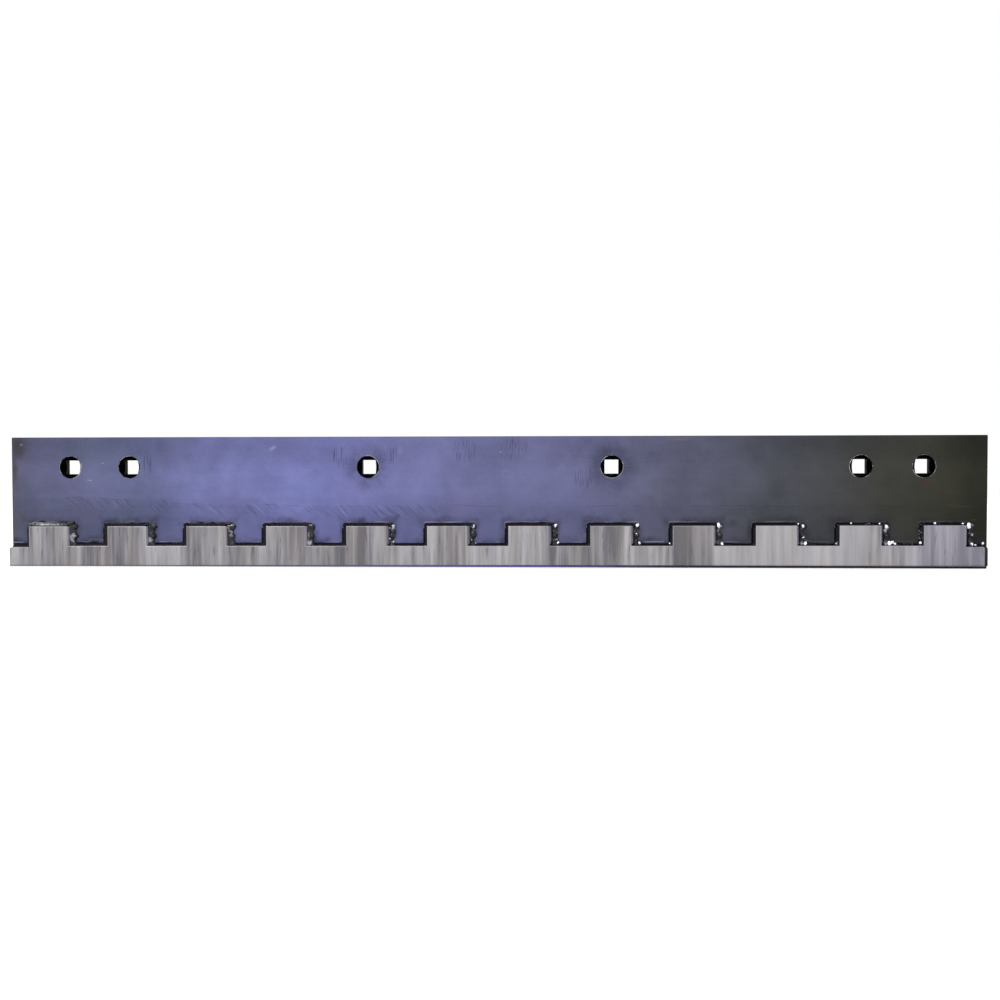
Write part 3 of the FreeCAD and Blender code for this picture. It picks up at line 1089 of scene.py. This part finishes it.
def sideWelds():
    dice = random.Random(21)
    whole = bmesh.new()
    for i, (left, right) in enumerate(toothSides()):
        bm = bmesh.new()
        foot = right + bevelWidth
        climb = sideBead["climb"] if i < sideBead["climbingTeeth"] else 0.0
        raised = climb * sideBead["climbLift"]
        for _ in range(sideBead["drops"]):
            share = dice.uniform(*sideBead["heights"])
            beyond = dice.uniform(*sideBead["places"]) * sideBead["reach"] - raised
            lift = dice.uniform(*sideBead["lifts"]) * sideBead["height"]
            addSideDrop(bm, foot, climb, share, beyond, lift, dice.uniform(*sideBead["radii"]), dice)
        for share in sideBead["swells"]:
            for places, lift, radius in (sideBead["crest"], sideBead["toe"]):
                addSideDrop(bm, foot, climb, share, dice.uniform(*places), lift, radius, dice)
        for step in range(sideBead["rootDrops"]):
            share = step / (sideBead["rootDrops"] - 1)
            addSideDrop(bm, foot, climb, share, sideBead["rootAt"] - climb, sideBead["rootLift"] + raised,
                        sideBead["rootRadius"], dice)
            addSideDrop(bm, foot, climb, share, dice.uniform(*sideBead["coverPlaces"]),
                        sideBead["coverLift"], sideBead["coverRadius"], dice)
        gather(whole, bm)
    return skinOver("sideWelds", whole, sideWeldMetal(), "tooth_side_welds", 3)


# bright drops of clean metal on the side beads, their near-white colour partly a painted highlight, and
# fine spatter round them

drops = {
    # tooth: millimetres beyond its foot, share of its height and radius in millimetres
    "places": {
        5: [(5.6, 0.97, 1.9), (0.8, 0.9, 0.8), (1.2, 0.36, 1.1), (5.6, 0.2, 1.3)],
        6: [(4.8, 0.97, 1.9), (2.2, 0.3, 0.9), (6.5, 0.12, 1.5)],
        7: [(5.3, 1.02, 2.0), (4.0, 0.48, 1.6), (8.2, 0.15, 1.8)],
        8: [(4.6, 1.0, 1.9), (3.6, 0.6, 0.9), (6.8, 0.1, 1.8), (45.5, 0.1, 1.3)],
        9: [(3.3, 1.0, 2.2), (7.2, 0.1, 2.0)],
        10: [(4.1, 0.97, 2.1), (4.5, 0.42, 1.2), (7.2, 0.1, 2.0), (11.5, 0.06, 1.3),
             (45.5, 0.12, 1.5), (-1.5, 1.1, 0.9)],
        11: [(3.4, 0.95, 2.2), (7.0, 0.1, 1.9), (10.6, 0.16, 1.8), (14.0, 0.08, 1.6),
             (45.8, 0.12, 2.1), (-4.5, 1.08, 1.0), (-39.0, 1.12, 1.2)],
        12: [(1.0, 0.97, 2.2), (4.5, 0.05, 1.9), (9.5, 0.03, 1.2), (18.5, 0.1, 1.6),
             (-6.0, 1.08, 1.3), (-39.5, 1.1, 1.4)]},
    "scale": 1.3,
    # drops within these millimetres of the foot sit on the bead or on the seam's tail, others lower
    "onBead": 6,
    "onTail": 20,
    "highLift": 3.2 * mm,
    "lowLift": 1.6 * mm,
    "width": (0.8, 1.05),
    "thickness": 0.8,
    # drops of more than this radius in millimetres are taller
    "big": 1.7,
    "bigTallness": (1.05, 1.45),
    "smallTallness": (0.85, 1.1),
    "tilt": (-15, 45),
    # wrinkles per metre
    "wrinkles": 250,
    "wrinkleDepth": 0.7 * mm,
    # near-white: clean metal with a painted highlight, dimmer to the left
    "leftColour": colour(168, 169, 184),
    "colour": colour(236, 236, 248),
    "roughness": 0.3,
}
spatter = {
    "count": 90,
    "smallest": 0.2 * mm,
    "largest": 0.5 * mm,
    "spread": 6 * mm,
    "furthest": 18 * mm,
    "tallest": 1.25,
    # below 1, more of it lies towards the right end
    "evenness": 0.6,
    "sunk": 0.3,
    "leftColour": colour(96, 96, 108),
    "colour": colour(104, 104, 114),
    "roughness": 0.4,
}


# what drops and spatter share
brightSteel = {
    "mottle": {"Clouds": 0.0, "Streaks": 0.0, "Grain": 0.16},
    "along": (0.0, 0.06),
    "metallic": 0.9,
    "bump": 0.03 * mm,
}


def brightMetal(name, values):
    material, tree, shader, place = newMaterial(name)
    factor, grain = useGroup(tree, mottle, {"Place": place, **brightSteel["mottle"]})
    leftToRight = rescale(tree, coordinates(tree, place)[0], *brightSteel["along"])
    base = blendColour(tree, leftToRight, values["leftColour"], values["colour"])
    setShader(tree, shader, brighten(tree, base, factor), values["roughness"], brightSteel["metallic"])
    bumpNormal(tree, shader, grain, brightSteel["bump"])
    return material


def brightWeldDrops():
    dice = random.Random(5)
    # without a seed this noise starts from the clock
    noise.seed_set(5)
    bm = bmesh.new()
    sides = list(toothSides())
    for tooth, places in drops["places"].items():
        foot = sides[tooth - 1][1] + bevelWidth
        raisedTo = drops["onTail"] if tooth in seam["tails"] else drops["onBead"]
        for beyond, share, radius in places:
            lift = drops["highLift"] if beyond < raisedTo else drops["lowLift"]
            place = Vector((foot + beyond * mm, -lift, floorHeight + share * strip["toothHeight"]))
            size = radius * mm * drops["scale"]
            tallness = drops["bigTallness"] if radius > drops["big"] else drops["smallTallness"]
            tall = size * dice.uniform(*tallness)
            tilt = Matrix.Rotation(math.radians(dice.uniform(*drops["tilt"])), 3, "Y")
            wide = size * dice.uniform(*drops["width"])
            thick = size * drops["thickness"]
            addDrop(bm, place, [tilt @ rightward * wide, -outOfFront * thick, tilt @ upward * tall], 3)
    for vert in bm.verts:
        vert.co += noise.noise_vector(vert.co * drops["wrinkles"]) * drops["wrinkleDepth"]
    layOnPlate(bm)
    piece = addPiece("brightWeldDrops", bm, brightMetal("brightDrop", drops))
    piece.data.shade_smooth()
    return piece


def weldSpatter():
    dice = random.Random(11)
    bm = bmesh.new()
    sides = list(toothSides())
    for _ in range(spatter["count"]):
        tooth = min(toothCount - 1, int(toothCount * dice.random() ** spatter["evenness"]))
        foot = sides[tooth][1] + bevelWidth
        height = floorHeight + seam["leg"] + dice.uniform(0.0, spatter["tallest"]) * strip["toothHeight"]
        beyond = min(seam["leg"] + abs(dice.gauss(0, 1)) * spatter["spread"], spatter["furthest"])
        radius = dice.uniform(spatter["smallest"], spatter["largest"])
        matrix = Matrix.Translation((foot + beyond, -radius * spatter["sunk"], height))
        bmesh.ops.create_icosphere(bm, subdivisions=1, radius=radius, matrix=matrix)
    layOnPlate(bm)
    return addPiece("weldSpatter", bm, brightMetal("spatterMetal", spatter))


# thin raised burr round each bolt seat

burr = {
    "width": 0.5 * mm,
    "rise": 0.22 * mm,
    "crest": 0.3,
    "sunk": 0.05 * mm,
    "overlap": 0.03 * mm,
    "steps": 64,
    "ragged": 0.12 * mm,
    "raggedness": 300,
    "bright": colour(205, 208, 214),
    "dark": colour(52, 53, 62),
    "arcs": (80, 3, 0.46, 0.56),
    "roughness": 0.38,
    "metallic": 0.8,
    "grain": (900, 2),
    "bump": 0.03 * mm,
}


def burrMetal():
    material, tree, shader, place = newMaterial("burrMetal")
    arcs = patches(tree, place, *burr["arcs"], roughness=0.6)
    base = blendColour(tree, arcs, burr["dark"], burr["bright"])
    setShader(tree, shader, base, burr["roughness"], burr["metallic"])
    bumpNormal(tree, shader, cloud(tree, place, *burr["grain"]), burr["bump"])
    return material


def seatBurrs():
    bm = bmesh.new()
    for mount in boltSeats:
        middle = Vector((mount["pos_m"][0], plateFront, mount["pos_m"][2]))
        section = [middle + Vector((seatRadius + burr["width"], burr["sunk"], 0)),
                   middle + Vector((seatRadius + burr["width"] * burr["crest"], -burr["rise"], 0)),
                   middle + Vector((seatRadius - burr["overlap"], burr["sunk"], 0))]
        verts = [bm.verts.new(point) for point in section]
        edges = [bm.edges.new((verts[i], verts[(i + 1) % 3])) for i in range(3)]
        bmesh.ops.spin(bm, geom=verts + edges, cent=middle, axis=(0, 1, 0), angle=2 * math.pi,
                       steps=burr["steps"], use_merge=True)
    bmesh.ops.remove_doubles(bm, verts=bm.verts, dist=near)
    for vert in bm.verts:
        if vert.co.y < plateFront:
            vert.co.y += burr["ragged"] * noise.noise(vert.co * burr["raggedness"])
    bmesh.ops.recalc_face_normals(bm, faces=bm.faces)
    return addPiece("seatBurrs", bm, burrMetal())


# build

plateNode = frame["nodes"]["blade_plate"]
plateNode.data.materials.clear()
plateNode.data.materials.append(bluedPlate())
print("plate finished")
wearStrip()
print("wear strip built")
seamWeld()
sideWelds()
brightWeldDrops()
weldSpatter()
print("welds built")
seatBurrs()
print("burrs built")


# floor, light and camera

studio = {
    "floorHalfSize": 6,
    "floorHeight": -0.2 * mm,
    "floorColour": (0.8, 0.8, 0.8, 1),
    "floorRoughness": 0.9,
    "floorLift": 0.45,
    "white": (1, 1, 1, 1),
    "roomStrength": 0.62,
    "shownStrength": 1.0,
    "target": Vector((0, 0, 0.08)),
    # place, size and power
    "lamps": {
        "keyLamp": ((-1.3, -2.2, 1.7), 1.3, 34),
        "fillLamp": ((1.9, -1.9, 0.9), 1.0, 14),
        "backLamp": ((0.6, 2.3, 1.8), 1.5, 26)},
}
camera = {
    "place": Vector((0.0934, -1.501, 0.1279)),
    "yaw": -0.05347,
    "pitch": -0.02935,
    "roll": -0.00154,
    "focalPixels": 1200,
    "framePixels": 1000,
    "sensorWidth": 36,
}


def lightPathShown(tree):
    # 1 for what the camera sees, straight or in metal and glass
    path = tree.nodes.new("ShaderNodeLightPath").outputs
    shown = calc(tree, "MAXIMUM", path["Is Camera Ray"], path["Is Glossy Ray"])
    return calc(tree, "MAXIMUM", shown, path["Is Transmission Ray"])


def studioFloor():
    bm = bmesh.new()
    bmesh.ops.create_grid(bm, x_segments=1, y_segments=1, size=studio["floorHalfSize"])
    bmesh.ops.translate(bm, vec=(0, 0, studio["floorHeight"]), verts=bm.verts)
    material, tree, shader = newMaterial("paleFloor")[:3]
    setShader(tree, shader, studio["floorColour"], studio["floorRoughness"], 0.0)
    shader.inputs["Emission Color"].default_value = studio["white"]
    lift = product(tree, lightPathShown(tree), studio["floorLift"])
    feed(tree, shader.inputs["Emission Strength"], lift)
    meshObject("studioFloor", bm, material)


def studioRoom():
    world = bpy.data.worlds.new("studioRoom")
    scene.world = world
    world.use_nodes = True
    tree = world.node_tree
    tree.nodes.clear()
    background = addNode(tree, "ShaderNodeBackground", {0: studio["white"]})
    strength = rescale(tree, lightPathShown(tree), 0, 1, studio["roomStrength"], studio["shownStrength"])
    feed(tree, background.inputs[1], strength)
    output = tree.nodes.new("ShaderNodeOutputWorld")
    tree.links.new(background.outputs[0], output.inputs[0])


def studioLamps():
    for name, (place, size, power) in studio["lamps"].items():
        light = bpy.data.lights.new(name, "AREA")
        light.size = size
        light.energy = power
        lamp = bpy.data.objects.new(name, light)
        lamp.location = place
        lamp.rotation_euler = (studio["target"] - Vector(place)).to_track_quat("-Z", "Y").to_euler()
        scene.collection.objects.link(lamp)


def photoCamera():
    yaw, pitch, roll = camera["yaw"], camera["pitch"], camera["roll"]
    level = math.cos(pitch)
    forward = Vector((math.sin(yaw) * level, math.cos(yaw) * level, math.sin(pitch)))
    right = Vector((math.cos(yaw), -math.sin(yaw), 0))
    up = right.cross(forward)
    rolledRight = right * math.cos(roll) + up * math.sin(roll)
    rolledUp = up * math.cos(roll) - right * math.sin(roll)
    turn = Matrix((rolledRight, rolledUp, -forward)).transposed()
    lens = bpy.data.cameras.new("photoCamera")
    lens.sensor_width = camera["sensorWidth"]
    lens.lens = camera["focalPixels"] / camera["framePixels"] * lens.sensor_width
    view = bpy.data.objects.new("photoCamera", lens)
    view.matrix_world = Matrix.Translation(camera["place"]) @ turn.to_4x4()
    scene.collection.objects.link(view)
    scene.camera = view


studioFloor()
studioRoom()
studioLamps()
photoCamera()
scene.view_settings.view_transform = "Standard"
print("studio set")
